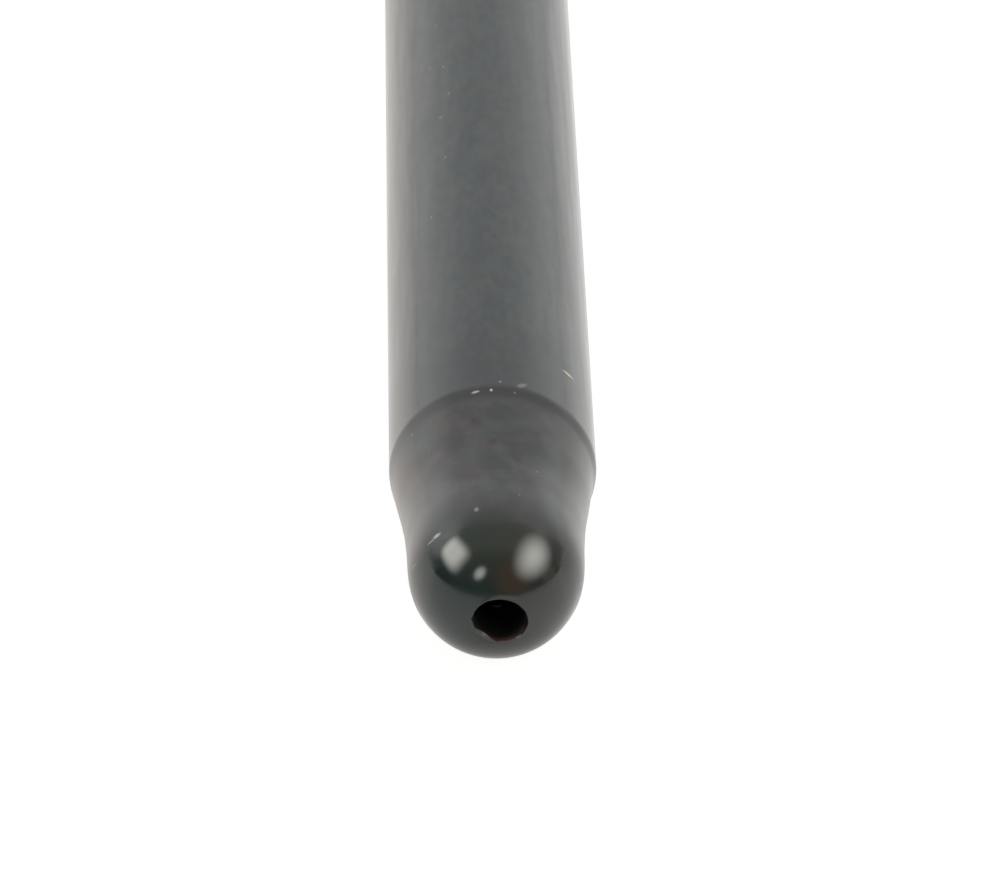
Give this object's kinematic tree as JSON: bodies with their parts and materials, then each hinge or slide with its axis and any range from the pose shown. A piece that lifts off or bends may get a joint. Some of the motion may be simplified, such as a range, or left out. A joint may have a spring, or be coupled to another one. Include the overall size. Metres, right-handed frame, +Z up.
{
  "type": "engine pushrod",
  "caption": "One-piece engine pushrod: a straight steel tube drawn in at each end to a formed ball with an oil hole, passing lifter motion and oil to a rocker arm.",
  "frame": {"origin": "centre of the lifter-end ball", "axes": "+Y along the rod towards the rocker-end ball, +Z up, +X to the right when looking along +Y"},
  "size_m": [0.0096, 0.2098, 0.0094],
  "materials": {
    "black_oxide_steel": "black oxide, satin on the tube, matte on the taper and polished on the balls"
  },
  "bodies": {
    "root": {"pushrod": "black_oxide_steel"}
  },
  "joints": []
}
